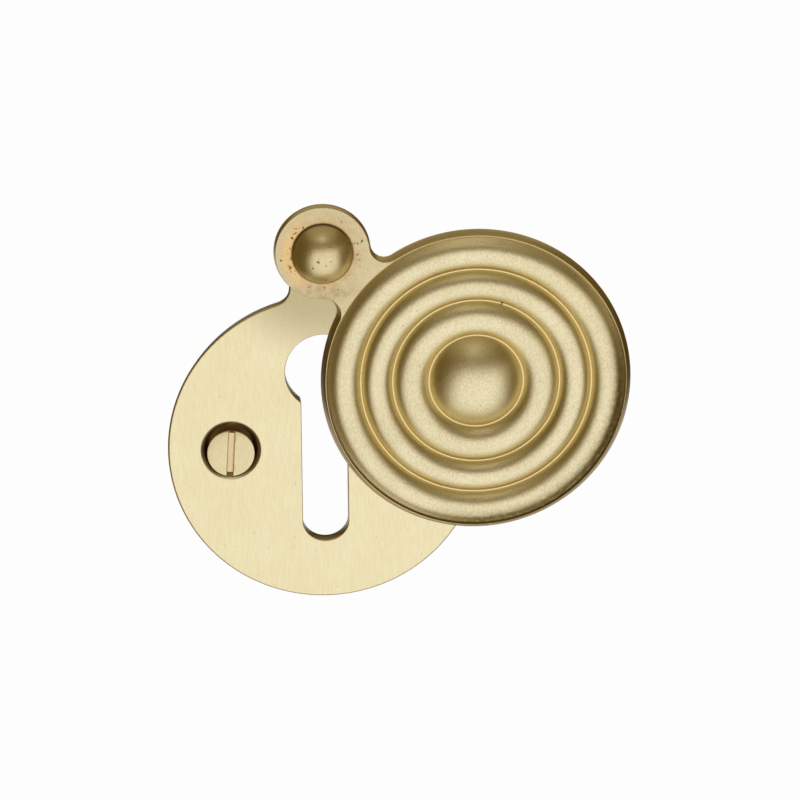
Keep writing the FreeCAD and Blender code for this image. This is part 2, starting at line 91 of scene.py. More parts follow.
def lineBy(dx, dy, dz):
    bpy.ops.mesh.extrude_region_move(TRANSFORM_OT_translate={"value": (dx * mm, dy * mm, dz * mm)})


def turn(x, z, profile):
    # extrudes the selected circle through a profile of (y, radius) steps
    for (y0, r0), (y1, r1) in zip(profile, profile[1:]):
        lineBy(0, y1 - y0, 0)
        bpy.ops.object.vertex_group_remove_from(use_all_groups=True)
        if r1 > 0:
            bpy.ops.transform.resize(value=(r1 / r0, 1, r1 / r0), center_override=(x * mm, 0, z * mm))
        else:
            bpy.ops.mesh.merge(type="CENTER")


def nameLoop(piece, name):
    piece.vertex_groups.new(name=name)
    bpy.ops.object.vertex_group_assign()


def pickLoops(piece, names):
    bpy.ops.mesh.select_mode(type="VERT")
    bpy.ops.mesh.select_all(action="DESELECT")
    for name in names:
        piece.vertex_groups.active_index = piece.vertex_groups[name].index
        bpy.ops.object.vertex_group_select()


def wall(piece, name, draw, levels):
    # draws one outline at each level and bridges it to the one before
    for i, level in enumerate(levels):
        draw(*level)
        bpy.ops.mesh.select_linked()
        bpy.ops.mesh.remove_doubles(threshold=0.002 * mm)
        nameLoop(piece, name + str(i))
        if i:
            pickLoops(piece, [name + str(i - 1), name + str(i)])
            bpy.ops.mesh.bridge_edge_loops()
        bpy.ops.mesh.select_all(action="DESELECT")


def fillFlat(piece, names, ring=0):
    # closes a flat face round its holes, with an even band along its edges that keeps the shading clean
    pickLoops(piece, names)
    bpy.ops.mesh.fill(use_beauty=True)
    if ring:
        bpy.ops.mesh.inset(thickness=ring * mm, use_boundary=True, use_even_offset=True)


def quarter(radius, count):
    # the steps of a rounded edge, from a flat face to a wall, as (inset from the wall, depth below the face)
    turned = [math.pi / 2 * i / count for i in range(count + 1)]
    return [(radius * (1 - math.sin(a)), radius * (1 - math.cos(a))) for a in turned]


def dome(rimY, rimRadius, crown, count):
    # the (y, radius) steps of a ball's cap, from just inside its rim to its crown on the axis
    rise = rimY - crown
    ball = (rimRadius ** 2 + rise ** 2) / (2 * rise)
    whole = math.asin(rimRadius / ball)
    angles = [whole * (1 - i / count) for i in range(1, count)]
    return [(crown + ball - ball * math.cos(a), ball * math.sin(a)) for a in angles] + [(crown, 0)]


def smooth(piece, angle=38):
    bpy.ops.object.shade_smooth_by_angle(angle=math.radians(angle))
    evened = piece.modifiers.new("evened", "WEIGHTED_NORMAL")
    evened.keep_sharp = True
    bpy.ops.object.modifier_apply(modifier=evened.name)


def finishPiece(piece):
    # merges what meets, turns the faces outwards and smooths the shading
    bpy.ops.mesh.select_all(action="SELECT")
    bpy.ops.mesh.remove_doubles(threshold=0.0005 * mm)
    bpy.ops.mesh.select_all(action="SELECT")
    bpy.ops.mesh.normals_make_consistent(inside=False)
    bpy.ops.object.mode_set(mode="OBJECT")
    piece.vertex_groups.clear()
    smooth(piece)
    print("made", piece.name, "with", len(piece.data.polygons), "faces")


def drawLobed(x, z, y, disc, lobe, neck, arm):
    # a disc and the lobe over it, joined by two hollow fillets
    toDisc, toLobe = disc + neck, lobe + neck
    atDisc = math.acos((toDisc ** 2 + arm ** 2 - toLobe ** 2) / (2 * toDisc * arm))
    atLobe = math.acos((toLobe ** 2 + arm ** 2 - toDisc ** 2) / (2 * toLobe * arm))
    atNeck = math.pi - atDisc - atLobe
    neckX, neckZ = toDisc * math.sin(atDisc), toDisc * math.cos(atDisc)
    addPoint(x + disc * math.sin(atDisc), y, z + disc * math.cos(atDisc))
    arc(x, y, z, -2 * (math.pi - atDisc), steps["disc"])
    arc(x - neckX, y, z + neckZ, atNeck, steps["neck"])
    arc(x, y, z + arm, -2 * (math.pi - atLobe), steps["lobe"])
    arc(x + neckX, y, z + neckZ, atNeck, steps["neck"])


# the plate's outline is largest at the front and draws in by the draft at the back; each screw's hole lies
# holeOut from the middle
plate = dict(disc=16.5, lobe=4.8, neck=1.8, arm=21.4, back=0.0, front=-1.9, draft=0.33, edge=0.25,
             backEdge=0.08, holeOut=9.87, hole=1.7, holeEdge=0.02, sink=3.15, sinkEdge=0.06, pivotHole=1.52,
             pivotSink=2.12, ring=0.25)

# the slot's end is an arc of radius end that two corner arcs join to its sides
keyhole = dict(round=4.05, height=8.3, half=2.4, reach=10.25, end=2.5, corner=2.0, throat=0.5, edge=0.12,
               backEdge=0.05)


def drawPlateRim(inset, y):
    p = plate
    thick = p["back"] - p["front"]
    inset += p["draft"] * max(y - p["front"], p["edge"]) / thick
    drawLobed(0, 0, y, p["disc"] - inset, p["lobe"] - inset, p["neck"] + inset, p["arm"])


def drawKeyhole(grow, y):
    k = keyhole
    big, half, end = k["round"] + grow, k["half"] + grow, k["end"] + grow
    throat, corner = k["throat"] - grow, k["corner"] + grow
    throatX = half + throat
    throatDrop = math.sqrt((big + throat) ** 2 - throatX ** 2)
    throatTurn = math.atan2(throatDrop, throatX)
    cornerX = half - corner
    cornerDrop = math.sqrt((end - corner) ** 2 - cornerX ** 2)
    cornerTurn = math.atan2(cornerDrop, cornerX)
    endZ = k["end"] - k["reach"]
    run = k["height"] - throatDrop - endZ + cornerDrop
    addPoint(big * math.cos(throatTurn), y, k["height"] - big * math.sin(throatTurn))
    arc(0, y, k["height"], math.pi + 2 * throatTurn, steps["keyRound"])
    arc(-throatX, y, k["height"] - throatDrop, -throatTurn, steps["keyThroat"])
    lineBy(0, 0, -run)
    arc(-cornerX, y, endZ - cornerDrop, cornerTurn, steps["keyCorner"])
    arc(0, y, endZ, math.pi - 2 * cornerTurn, steps["keyEnd"])
    arc(cornerX, y, endZ - cornerDrop, cornerTurn, steps["keyCorner"])
    lineBy(0, 0, run)
    arc(throatX, y, k["height"] - throatDrop, -throatTurn, steps["keyThroat"])


def buildBackplate():
    p = plate
    front, back = p["front"], p["back"]
    piece = startPiece("backplateForm")
    rim = [(inset, front + depth) for inset, depth in quarter(p["edge"], steps["plateEdge"])]
    rim += [(inset, back - depth) for inset, depth in reversed(quarter(p["backEdge"], steps["backEdge"]))]
    wall(piece, "rim", drawPlateRim, rim)
    key = [(inset, front + depth) for inset, depth in quarter(keyhole["edge"], steps["keyEdge"])]
    backEdge = reversed(quarter(keyhole["backEdge"], steps["backEdge"]))
    key += [(inset, back - depth) for inset, depth in backEdge]
    wall(piece, "key", drawKeyhole, key)

    # a screw's hole: its broken edge, the countersink's cone and the plain hole
    sinkEnd = front + p["sinkEdge"] + p["sink"] - p["hole"]
    screwHole = [(front, p["sink"] + p["sinkEdge"]), (front + p["sinkEdge"] / 2, p["sink"]),
                 (sinkEnd - p["holeEdge"], p["hole"] + p["holeEdge"]), (sinkEnd, p["hole"]),
                 (back, p["hole"])]
    pivotHole = [(front, p["pivotHole"]), (back + p["pivotHole"] - p["pivotSink"], p["pivotHole"]),
                 (back, p["pivotSink"])]
    holes = (("left", -p["holeOut"], 0, screwHole), ("right", p["holeOut"], 0, screwHole),
             ("pivot", 0, p["arm"], pivotHole))
    frontLoops = ["rim0", "key0"]
    backLoops = ["rim%d" % (len(rim) - 1), "key%d" % (len(key) - 1)]
    for name, x, z, profile in holes:
        addCircle(x, profile[0][0], z, profile[0][1], steps["plateHole"])
        nameLoop(piece, name + "Front")
        turn(x, z, profile)
        nameLoop(piece, name + "Back")
        frontLoops.append(name + "Front")
        backLoops.append(name + "Back")
    fillFlat(piece, frontLoops, p["ring"])
    fillFlat(piece, backLoops, p["ring"])
    finishPiece(piece)
    return piece


# the cover is modelled hanging straight down from its pivot and then swung; its walls draw in towards the
# front, and the relief's numbers are radii from the disc's middle and depths along y
cover = dict(disc=16.28, lobe=5.07, neck=1.4, arm=21.35, back=-1.95, face=-2.95, edge=0.05, backEdge=0.06,
             discDraft=0.48, lobeDraft=0.17, neckDraft=0.325, pivotHole=1.56, swing=48.2, relief=15.71,
             ledgeLean=0.04, ledgeFoot=-2.74, outerFoot=(-3.02, 15.15), grooves=(12.09, 8.74, 4.95),
             groove=0.05, floor=-2.62, crest=-3.47, crown=-4.65, ring=0.3)


def drawCoverRim(inset, y):
    c = cover
    up = (c["back"] - y) / (c["back"] - c["face"])
    drawLobed(0, plate["arm"] - c["arm"], y, c["disc"] - c["discDraft"] * up - inset,
              c["lobe"] - c["lobeDraft"] * up - inset, c["neck"] + c["neckDraft"] * up + inset, c["arm"])


def reed(outer, inner, count):
    # the (y, radius) steps of a reed between two (y, radius) feet, an arc that just touches the plane of the
    # crests, whose radius is found by halving
    high = [foot[0] - cover["crest"] for foot in (outer, inner)]
    wide = outer[1] - inner[1]
    low, top = wide / 3, wide * 3
    for _ in range(60):
        bend = (low + top) / 2
        spans = [math.sqrt(max(2 * bend * h - h * h, 0)) for h in high]
        low, top = (low, bend) if sum(spans) > wide else (bend, top)
    centreR, centreY = outer[1] - spans[0], cover["crest"] + bend
    first, last = math.asin(spans[0] / bend), -math.asin(spans[1] / bend)
    angles = [first + (last - first) * i / count for i in range(count + 1)]
    return [(centreY - bend * math.cos(a), centreR + bend * math.sin(a)) for a in angles]


def reliefProfile():
    # the narrow ledge's inner side, three reeds with a groove inside each, and the button's dome; each
    # reed lies between the foot at an even place in the list and the one after it
    c = cover
    feet = [c["outerFoot"]]
    for groove in c["grooves"]:
        feet += [(c["floor"], groove + c["groove"]), (c["floor"], groove - c["groove"])]
    profile = [(c["face"], c["relief"]), (c["ledgeFoot"], c["relief"] - c["ledgeLean"])]
    for outer, inner in zip(feet[0::2], feet[1::2]):
        profile += reed(outer, inner, steps["reed"])
    return profile + [feet[-1]] + dome(*feet[-1], c["crown"], steps["dome"])


def buildSwingCover():
    c = cover
    piece = startPiece("swingCoverForm")
    rim = [(inset, c["back"] - depth) for inset, depth in quarter(c["backEdge"], steps["backEdge"])]
    rim += [(inset, c["face"] + depth) for inset, depth in reversed(quarter(c["edge"], steps["coverEdge"]))]
    wall(piece, "rim", drawCoverRim, rim)
    z = plate["arm"]
    addCircle(0, c["face"], z, c["pivotHole"], steps["pivotHole"])
    nameLoop(piece, "pivotFront")
    turn(0, z, [(c["face"], c["pivotHole"]), (c["back"], c["pivotHole"])])
    nameLoop(piece, "pivotBack")
    addCircle(0, c["face"], z - c["arm"], c["relief"], steps["relief"])
    nameLoop(piece, "relief")
    turn(0, z - c["arm"], reliefProfile())
    fillFlat(piece, ["rim%d" % (len(rim) - 1), "pivotFront", "relief"])
    fillFlat(piece, ["rim0", "pivotBack"], c["ring"])
    bpy.ops.mesh.select_all(action="SELECT")
    bpy.ops.transform.rotate(value=math.radians(c["swing"]), orient_axis="Y", center_override=(0, 0, z * mm))
    finishPiece(piece)
    return piece


# the head lies in front of under, and the tail fills the cone in the back of the plate
rivet = dict(tail=2.1, spread=-0.6, shank=1.5, under=-3.0, rim=-3.2, head=3.15, edge=0.05, crown=-4.9)


def buildPivotRivet():
    r = rivet
    half = r["tail"] / 2
    profile = [(plate["back"], half), (plate["back"], r["tail"]), (r["spread"], r["shank"]),
               (r["under"], r["shank"]), (r["under"], r["head"] - r["edge"]),
               (r["under"] - r["edge"], r["head"]), (r["rim"] + r["edge"], r["head"])]
    profile += dome(r["rim"], r["head"], r["crown"], steps["dome"])
    piece = startPiece("pivotRivetForm")
    addCircle(0, plate["back"], plate["arm"], half, steps["rivet"], "NGON")
    turn(0, plate["arm"], profile)
    finishPiece(piece)
    return piece


# ridgeWidth is a share of the pitch; the screw thins from taper to tip, down to the point's share of its
# radius; drop is how far both screws lie below the middle of the disc
screw = dict(head=2.5, face=-1.8, edge=0.1, edgeMid=0.3, shank=1.25, neck=-0.45, plain=0.1, thread=1.05,
             ridge=0.2, ridgeWidth=0.48, pitch=1.06, turnSteps=10, runIn=0.5, taper=8.4, tip=10.9, point=0.12,
             slot=0.6, slotDepth=0.45, slotEdge=0.08, drop=-0.42, leftTurn=-3.7, rightTurn=38.0)


def threadPush(angle, y):
    # how far the thread stands out of the core, or lies below it, at this angle and depth
    s = screw
    phase = (y / s["pitch"] - angle / (2 * math.pi)) % 1
    fade = min(1, (y - s["plain"]) / s["runIn"], (s["tip"] - y) / (s["tip"] - s["taper"]))
    ridge = max(0, 1 - abs(phase - 0.5) * 2 / s["ridgeWidth"])
    return max(0, fade) * s["ridge"] * (2 * ridge - 1)


def buildScrew(name):
    s = screw
    piece = startPiece(name)
    half = s["head"] / 2
    edgeMid = s["edge"] * s["edgeMid"]
    profile = [(s["face"], half), (s["face"], s["head"] - s["edge"]),
               (s["face"] + edgeMid, s["head"] - edgeMid), (s["face"] + s["edge"], s["head"]),
               (s["neck"], s["shank"]), (plate["back"], s["shank"]), (s["plain"], s["thread"])]
    step = s["pitch"] / s["turnSteps"]
    for i in range(1, int((s["tip"] - s["plain"]) / step)):
        y = s["plain"] + step * i
        narrow = min(1, (s["tip"] - y) / (s["tip"] - s["taper"]))
        profile.append((y, s["thread"] * (s["point"] + (1 - s["point"]) * narrow)))
    profile.append((s["tip"], 0))
    addCircle(0, s["face"], 0, half, steps["screw"], "NGON")
    turn(0, 0, profile)
    mesh = bmesh.from_edit_mesh(piece.data)
    for v in mesh.verts:
        y, r = v.co.y / mm, math.hypot(v.co.x, v.co.z) / mm
        if y > s["plain"] and r > s["thread"] * s["point"]:
            grown = 1 + threadPush(math.atan2(v.co.z, v.co.x), y) / r
            v.co.x, v.co.z = v.co.x * grown, v.co.z * grown
    bmesh.update_edit_mesh(piece.data)
    finishPiece(piece)

    # the slot, and a square cutter stood on its corner that breaks the slot's edges; both reach past the head
    above = 1
    corner = (above + s["slot"] / 2 + s["slotEdge"]) * math.sqrt(2)
    cut(piece, (s["slot"], 2 * above), s["face"] + s["slotDepth"] - above, 0)
    cut(piece, (corner, corner), s["face"] - above, math.pi / 4)
    return piece


def cut(piece, size, y, turned):
    # takes a bar that is longer than the head's width out of the piece
    bpy.ops.object.select_all(action="DESELECT")
    bpy.ops.mesh.primitive_cube_add(size=1, location=(0, y * mm, 0), rotation=(0, 0, turned))
    cutter = bpy.context.object
    cutter.scale = (size[0] * mm, size[1] * mm, 3 * screw["head"] * mm)
    bpy.ops.object.transform_apply(location=True, rotation=True, scale=True)
    bpy.ops.object.select_all(action="DESELECT")
    piece.select_set(True)
    bpy.context.view_layer.objects.active = piece
    cutting = piece.modifiers.new("cutting", "BOOLEAN")
    cutting.object = cutter
    cutting.operation = "DIFFERENCE"
    cutting.solver = "EXACT"
    bpy.ops.object.modifier_apply(modifier=cutting.name)
    bpy.data.objects.remove(cutter)


def placeScrew(piece, x, turnBy):
    # turns a screw about its own axis and carries it to its hole
    bpy.ops.object.select_all(action="DESELECT")
    piece.select_set(True)
    bpy.context.view_layer.objects.active = piece
    bpy.ops.object.mode_set(mode="EDIT")
    bpy.ops.mesh.select_all(action="SELECT")
    bpy.ops.transform.rotate(value=math.radians(turnBy), orient_axis="Y", center_override=(0, 0, 0))
    bpy.ops.transform.translate(value=(x * mm, 0, screw["drop"] * mm))
    bpy.ops.object.mode_set(mode="OBJECT")
    smooth(piece, 20)
    print("placed", piece.name)


def linear(code):
    # an sRGB hex colour as the linear one that a socket takes
    parts = [int(code[i:i + 2], 16) / 255 for i in (1, 3, 5)]
    return tuple(p / 12.92 if p <= 0.04045 else ((p + 0.055) / 1.055) ** 2.4 for p in parts) + (1,)


def add(tree, kind, values):
    # adds a node; a key is an input's identifier or else one of the node's own settings, and a value is an
    # output to link, a hex colour or a plain value
    node = tree.nodes.new(kind)
    inputs = {socket.identifier: socket for socket in node.inputs}
    for key, value in values.items():
        if key not in inputs:
            setattr(node, key, value)
        elif isinstance(value, bpy.types.NodeSocket):
            tree.links.new(value, inputs[key])
        else:
            inputs[key].default_value = linear(value) if isinstance(value, str) else value
    return node


def newMaterial(name):
    material = bpy.data.materials.new(name)
    material.use_nodes = True
    tree = material.node_tree
    tree.nodes.clear()
    return material, tree, add(tree, "ShaderNodeTexCoord", {}).outputs["Object"]


def spanMask(tree, measure, gone, full, least=0.0):
    # a mask that rises softly from least to 1 as a measure goes from gone to full
    values = {"interpolation_type": "SMOOTHSTEP", "Value": measure, "From Min": gone, "From Max": full,
              "To Min": least}
    return add(tree, "ShaderNodeMapRange", values).outputs[0]


def grain(tree, place, size, length=None, detail=2.0):
    # soft noise whose marks have the given size in mm, drawn out along z where a length is given
    across, along = 1 / (size * mm), 1 / ((length or size) * mm)
    sized = add(tree, "ShaderNodeMapping", {"Vector": place, "Scale": (across, across, along)}).outputs[0]
    return add(tree, "ShaderNodeTexNoise", {"Vector": sized, "Scale": 1.0, "Detail": detail}).outputs[0]


def patches(tree, place, size, gone, full, length=None, detail=2.0, least=0.0):
    # a mask of scattered marks of the given size in mm
    return spanMask(tree, grain(tree, place, size, length, detail), gone, full, least)


def roundAxis(tree, place, x, z, gone, full):
    # a mask by the distance in mm from the line that runs straight back through (x, z)
    fromAxis = {"Vector": place, "Location": (-x * mm, 0, -z * mm), "Scale": (1, 0, 1)}
    moved = add(tree, "ShaderNodeMapping", fromAxis).outputs[0]
    distance = add(tree, "ShaderNodeVectorMath", {"operation": "LENGTH", "Vector": moved}).outputs["Value"]
    return spanMask(tree, distance, gone * mm, full * mm)


def along(tree, place, way, gone, full, least=0.0):
    # a mask by how far a point lies along a direction, in mm
    values = {"operation": "DOT_PRODUCT", "Vector": place, "Vector_001": way}
    reach = add(tree, "ShaderNodeVectorMath", values).outputs["Value"]
    return spanMask(tree, reach, gone * mm, full * mm, least)


def coat(tree, under, over, amount, masks=()):
    # lays one colour over another, by an amount times every mask
    for mask in masks:
        values = {"operation": "MULTIPLY", "Value": mask, "Value_001": amount}
        amount = add(tree, "ShaderNodeMath", values).outputs[0]
    values = {"data_type": "RGBA", "Factor_Float": amount, "A_Color": under, "B_Color": over}
    return add(tree, "ShaderNodeMix", values).outputs[2]


def brassTone(tree, place, light, deep, length):
    # the metal's own unevenness: cloudy patches of 5 mm crossed by strokes, drawn 0.14 mm wide because the
    # real ones are too fine to show
    cloud = patches(tree, place, 5.0, 0.35, 0.65, detail=3.0)
    stroke = patches(tree, place, 0.14, 0.38, 0.62, length, 3.0)
    share = add(tree, "ShaderNodeMix", {"Factor_Float": 0.7, "A_Float": cloud, "B_Float": stroke}).outputs[0]
    return coat(tree, light, deep, share)


def finishMetal(material, tree, colour, rough, relief, depth):
    # a bare metal surface; the relief is a height that stands out by a depth in mm
    bump = add(tree, "ShaderNodeBump", {"Strength": 1.0, "Distance": depth * mm, "Height": relief})
    metal = add(tree, "ShaderNodeBsdfPrincipled",
                {"Base Color": colour, "Metallic": 1.0, "Roughness": rough, "Normal": bump.outputs[0]})
    add(tree, "ShaderNodeOutputMaterial", {"Surface": metal.outputs[0]})
    return material


def slopeShade(tree):
    # how far the surface leans away from the front, which sets where a darker gold is painted as shade on the
    # slopes
    normal = add(tree, "ShaderNodeTexCoord", {}).outputs["Normal"]
    values = {"operation": "DOT_PRODUCT", "Vector": normal, "Vector_001": backward}
    facing = add(tree, "ShaderNodeVectorMath", values).outputs["Value"]
    facing = add(tree, "ShaderNodeMath", {"operation": "ABSOLUTE", "Value": facing}).outputs[0]
    return spanMask(tree, facing, 0.985, 0.8)


def spots(tree, place, marks):
    # one mask for single marks, each given as (x, z, radius); a noise with knots of 0.2 mm shifts the place
    # by up to 0.35 mm, which makes their edges ragged, and a mark is full within its core
    knot, shift, core = 0.2, 0.35, 0.4
    ragged = add(tree, "ShaderNodeTexNoise", {"Vector": place, "Scale": 1 / (knot * mm)}).outputs["Color"]
    values = {"operation": "MULTIPLY_ADD", "Vector": ragged, "Vector_001": (shift * mm,) * 3,
              "Vector_002": place}
    place = add(tree, "ShaderNodeVectorMath", values).outputs[0]
    mask = 0.0
    for x, z, radius in marks:
        mark = roundAxis(tree, place, x + shift / 2, z + shift / 2, radius, radius * core)
        values = {"operation": "MAXIMUM", "Value": mark, "Value_001": mask}
        mask = add(tree, "ShaderNodeMath", values).outputs[0]
    return mask


# directions that masks run along
rightward, backward, upward = (1, 0, 0), (0, 1, 0), (0, 0, 1)


def brushedPlateBrass():
    # fine upright brushing gives the flat face a soft silky sheen; its strokes are drawn 0.12 mm wide because
    # the real ones are too fine to show, and the walls behind the face are painted dark brown as shade
    material, tree, place = newMaterial("brushedPlateBrass")
    tone = brassTone(tree, place, "#fef2c8", "#f8eabd", 1.2)
    tone = coat(tree, tone, "#a8905c", 0.3, [patches(tree, place, 0.3, 0.73, 0.79, detail=1.0)])
    # the top of the plate round the pivot, under the cover, is painted darker as shade from the cover
    tone = coat(tree, tone, "#c3b48a", 0.8, [roundAxis(tree, place, 0, plate["arm"], 13, 6)])
    # painted shade: everything more than 0.2 mm behind the front face, the walls and the countersinks' cones,
    # is painted dark brown
    shadedPlateWalls = along(tree, place, backward, plate["front"] + 0.04, plate["front"] + 0.2)
    tone = coat(tree, tone, "#765c34", 0.85, [shadedPlateWalls])
    return finishMetal(material, tree, tone, 0.34, grain(tree, place, 0.12, 3.0, 3.0), 0.004)


# pits round the rivet and a nick on the middle groove, as (x, z, radius)
coverMarks = ((4.11, 22.65, 0.2), (-4.3, 20.71, 0.16), (-2.7, 23.67, 0.15), (-1.97, 24.18, 0.12),
              (-3.12, 23.14, 0.14), (1.56, 17.45, 0.12), (18.63, 15.57, 0.2))
rivetMarks = ((-0.53, 20.99, 0.22), (-1.04, 20.28, 0.12), (0.29, 20.54, 0.12), (0.82, 21.04, 0.11))

# the stains round the rivet, and the dark ring painted as shade in the gap at its head, as the distances from
# its axis at which each is gone and is full
rivetStainsAndShade = dict(halo=(5.6, 3.6), under=(6, 4.6), ring=(4.1, 3.3), lacquer=(4.7, 3.7), gapShade=(3.36, 3.18),
              rust=(4.4, 3.6))


def stainAndShadeRoundRivet(tree, place, tone):
    # a worn pinkish ring where the head rubs, brown below it, orange on the left, a dark line painted as
    # shade in the gap round the head, and rust
    pivot = (0, plate["arm"])
    reach = {name: roundAxis(tree, place, *pivot, *span) for name, span in rivetStainsAndShade.items()}
    patchy = patches(tree, place, 0.7, 0.35, 0.65, detail=4.0, least=0.3)
    below = along(tree, place, upward, plate["arm"] - 3, plate["arm"] - 4.6)
    rusty = [patches(tree, place, 0.22, 0.56, 0.64), patches(tree, place, 2.2, 0.46, 0.6, detail=1.0)]
    tone = coat(tree, tone, "#d3b48a", 0.4, [reach["halo"], patchy])
    tone = coat(tree, tone, "#a58a62", 0.5, [reach["under"], below, patchy])
    tone = coat(tree, tone, "#e0b176", 0.7, [reach["ring"], patchy])
    tone = coat(tree, tone, "#fbd596", 0.85, [reach["lacquer"], along(tree, place, rightward, -1, -3.2)])
    # painted shade: a dark line on the flange just outside the head
    tone = coat(tree, tone, "#6b4f24", 0.8, [reach["gapShade"]])
    return coat(tree, tone, "#7d5f3c", 0.9, [reach["rust"], *rusty])


def castCoverBrass():
    # a sand-cast face rubbed smooth, whose grain of about 0.2 mm breaks up the gleam on the reeds
    material, tree, place = newMaterial("castCoverBrass")
    c = cover
    swing = math.radians(c["swing"])
    x, z = c["arm"] * math.sin(swing), plate["arm"] - c["arm"] * math.cos(swing)
    rimStart, rimFull = c["relief"] - 0.3, c["relief"] - 0.1
    tone = brassTone(tree, place, "#fff3cd", "#ebdcb0", 0.3)
    # painted shade: the cover's leaning surfaces are painted a deeper, darker gold
    tone = coat(tree, tone, "#d2bd74", 0.5, [slopeShade(tree)])

    # the grooves keep an orange lacquer
    grooved = along(tree, place, backward, c["floor"] - 0.05, c["floor"] - 0.01)
    tone = coat(tree, tone, "#ffe9b8", 1.0, [grooved, roundAxis(tree, place, x, z, rimFull, rimStart)])

    # the ledge and the walls are painted dark brown on the lower side as shade, and the lower right rim is
    # painted a mottled brown as shade
    outside = roundAxis(tree, place, x, z, rimStart, rimFull)
    deep = along(tree, place, backward, c["face"] - 0.03, c["face"] + 0.1)
    # painted shade: the ledge and the walls behind the face, outside the relief and low on the disc, are
    # painted dark brown
    tone = coat(tree, tone, "#7f6539", 0.9, [deep, outside, along(tree, place, upward, z + 12, z + 2)])
    # painted shade: a mottled brown band on the disc's outer rim, towards the lower right
    lowerRightRimShade = [roundAxis(tree, place, x, z, c["relief"] - 2.1, c["relief"] - 0.4),
            along(tree, place, (1, 0, -1), x - z + 5, x - z + 17),
            patches(tree, place, 0.5, 0.3, 0.6, detail=4.0, least=0.6)]
    tone = coat(tree, tone, "#84743e", 0.85, lowerRightRimShade)

    # the flange's face, with its stains, the shade painted round the rivet, its marks and pits
    flat = along(tree, place, backward, c["face"] - 0.04, c["face"] - 0.02)
    tone = coat(tree, tone, "#d2bd8c", 0.45, [outside, flat])
    tone = stainAndShadeRoundRivet(tree, place, tone)
    tone = coat(tree, tone, "#4a3716", 0.9, [spots(tree, place, coverMarks)])
    tone = coat(tree, tone, "#8d6f3e", 0.5, [patches(tree, place, 0.3, 0.74, 0.8, detail=1.0)])
    return finishMetal(material, tree, tone, 0.38, grain(tree, place, 0.2, detail=3.0), 0.02)


def domedRivetBrass():
    # a hand-set head, smooth with a few pits, whose gleam is tighter than the cover's
    material, tree, place = newMaterial("domedRivetBrass")
    tone = brassTone(tree, place, "#f2e2b4", "#ead7a4", 0.5)
    tone = coat(tree, tone, "#8d6f3e", 0.5, [patches(tree, place, 0.25, 0.68, 0.74, detail=1.0)])
    # painted shade: the head's leaning sides are painted an olive gold
    tone = coat(tree, tone, "#cfc288", 0.35, [slopeShade(tree)])
    tone = coat(tree, tone, "#5c4722", 0.9, [spots(tree, place, rivetMarks)])
    # painted shade: the head's rim and underside are painted dark brown
    tone = coat(tree, tone, "#7d6238", 0.8, [along(tree, place, backward, rivet["rim"] - 0.25, rivet["rim"])])
    return finishMetal(material, tree, tone, 0.37, grain(tree, place, 0.3, detail=3.0), 0.012)


def turnedScrewBrass():
    # faced off on a lathe, so flat and a little brighter than the plate; the slot and the thread are duller
    material, tree, place = newMaterial("turnedScrewBrass")
    tone = brassTone(tree, place, "#f4e6ba", "#ecdaab", 0.6)
    below = along(tree, place, backward, screw["face"] + 0.05, screw["face"] + 0.3)
    tone = coat(tree, tone, "#f0cfa0", 0.6, [below])
    return finishMetal(material, tree, tone, 0.36, grain(tree, place, 0.15, 0.8), 0.003)


def dress(piece, material):
    piece.data.materials.clear()
    piece.data.materials.append(material)


# the paper glows white to the camera, and in reflections too but for its sides and right under the piece,
# where a painted shadow dims it: the white fills a wedge that opens forward from a point as far behind the
# piece as start says, between the sides, which are shares of the distance from that point, and a strip
# behind; places are in mm
stage = dict(floorZ=-100, size=6000, level=0.98, aside=-0.2, sides=(1.05, 0.75), underShadow=0.15,
             under=(10, 40), start=50, behind=(50, 120), behindWide=(240, 160), dim="#69582d")


def glow(tree, place, seen):
    # the paper's colour: brown at the sides, white in front of the piece and behind it, and a painted shadow
    # right under the piece
    s = stage
    parts = add(tree, "ShaderNodeSeparateXYZ", {"Vector": place}).outputs
    ahead = add(tree, "ShaderNodeMath", {"operation": "MULTIPLY", "Value": parts["Y"], "Value_001": -1.0})
    ahead = add(tree, "ShaderNodeMath", {"operation": "MAXIMUM", "Value": ahead.outputs[0], "Value_001": 0.0})
    reach = add(tree, "ShaderNodeMath",
                {"operation": "ADD", "Value": ahead.outputs[0], "Value_001": s["start"] * mm})
    turned = add(tree, "ShaderNodeMath",
                 {"operation": "DIVIDE", "Value": parts["X"], "Value_001": reach.outputs[0]})
    turned = add(tree, "ShaderNodeMath",
                 {"operation": "ADD", "Value": turned.outputs[0], "Value_001": s["aside"]})
    turned = add(tree, "ShaderNodeMath", {"operation": "ABSOLUTE", "Value": turned.outputs[0]})
    front = spanMask(tree, turned.outputs[0], *s["sides"])
    # painted shadow: the glow in front is dimmed right under the piece
    under = along(tree, place, (0, -1, 0), *s["under"], s["underShadow"])
    front = add(tree, "ShaderNodeMath", {"operation": "MULTIPLY", "Value": front, "Value_001": under})
    behind = add(tree, "ShaderNodeMath",
                 {"operation": "MULTIPLY", "Value": along(tree, place, rightward, *s["behindWide"]),
                  "Value_001": along(tree, place, (-1, 0, 0), *s["behindWide"])})
    behind = add(tree, "ShaderNodeMath", {"operation": "MULTIPLY", "Value": behind.outputs[0],
                                          "Value_001": along(tree, place, backward, *s["behind"])})
    lit = add(tree, "ShaderNodeMath",
              {"operation": "MAXIMUM", "Value": front.outputs[0], "Value_001": behind.outputs[0]}).outputs[0]
    colour = coat(tree, s["dim"], "#bfa878", spanMask(tree, lit, 0.0, 0.5))
    colour = coat(tree, colour, "#ffffff", spanMask(tree, lit, 0.4, 1.0))
    return coat(tree, colour, "#ffffff", seen)


